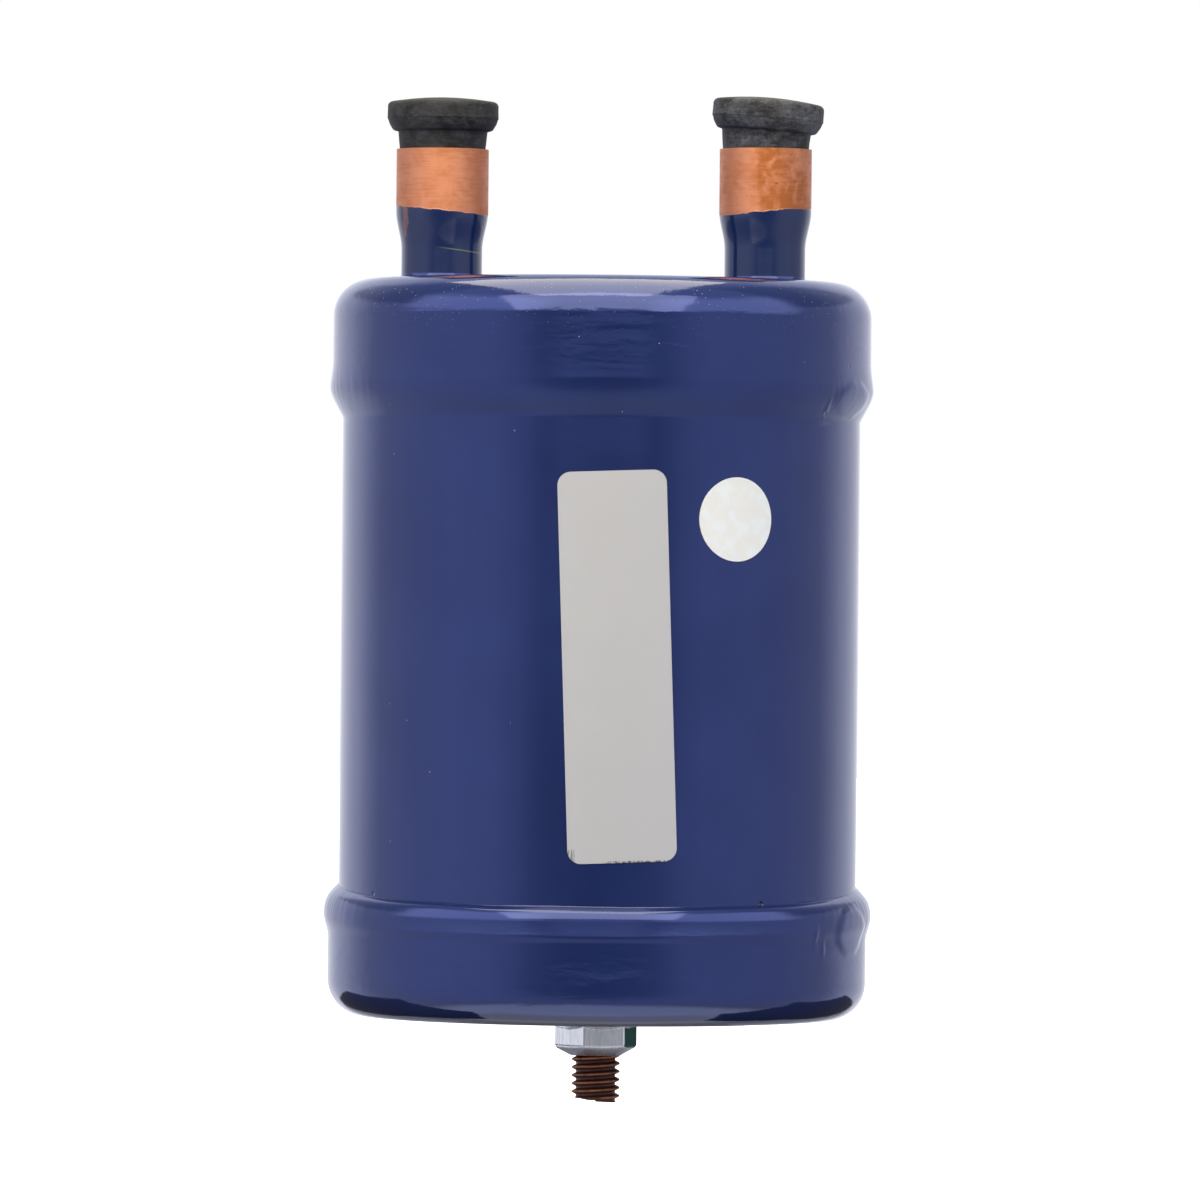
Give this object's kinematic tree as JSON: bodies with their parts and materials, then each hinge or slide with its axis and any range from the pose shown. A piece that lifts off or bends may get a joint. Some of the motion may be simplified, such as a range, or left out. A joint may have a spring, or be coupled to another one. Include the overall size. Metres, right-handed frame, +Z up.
{
  "type": "suction line accumulator",
  "caption": "Upright blue steel can with lap-welded end caps, plugged copper sweat sockets on top, a U-tube with metered oil return inside and a threaded mounting stud below.",
  "frame": {"origin": "on the can's axis at the underside of the nut, where the free thread of the mounting stud starts", "axes": "+Z up along the can's axis, X through both tubes with the outlet on +X, the labelled front faces -Y"},
  "size_m": [0.107, 0.107, 0.198],
  "materials": {
    "blue_paint": "glossy deep blue powder paint with light orange peel",
    "copper": "drawn copper, dull and blotchy, painted blue on its lower part",
    "bare_steel": "plain pressed steel",
    "brass": "turned brass",
    "black_rubber": "dusty moulded rubber",
    "copper_washed_steel": "rolled thread with a dark copper wash",
    "zinc_plate": "bright zinc plating",
    "label_film": "bare silver-white film, scuffed at its lower edge",
    "pearl_film": "bare pearly film"
  },
  "bodies": {
    "root": {"shell": "blue_paint", "top_cap": "blue_paint", "bottom_cap": "blue_paint", "top_weld": "blue_paint", "bottom_weld": "blue_paint", "inlet_tube": "copper", "outlet_tube": "copper", "inlet_braze": "blue_paint", "outlet_braze": "blue_paint", "inlet_deflector": "bare_steel", "leg_brace": "bare_steel", "oil_orifice": "brass", "oil_screen": "bare_steel", "screen_ring": "bare_steel", "inlet_plug": "black_rubber", "outlet_plug": "black_rubber", "mounting_stud": "copper_washed_steel", "stud_weld": "bare_steel", "hex_nut": "zinc_plate", "data_label": "label_film", "round_label": "pearl_film"}
  },
  "joints": []
}
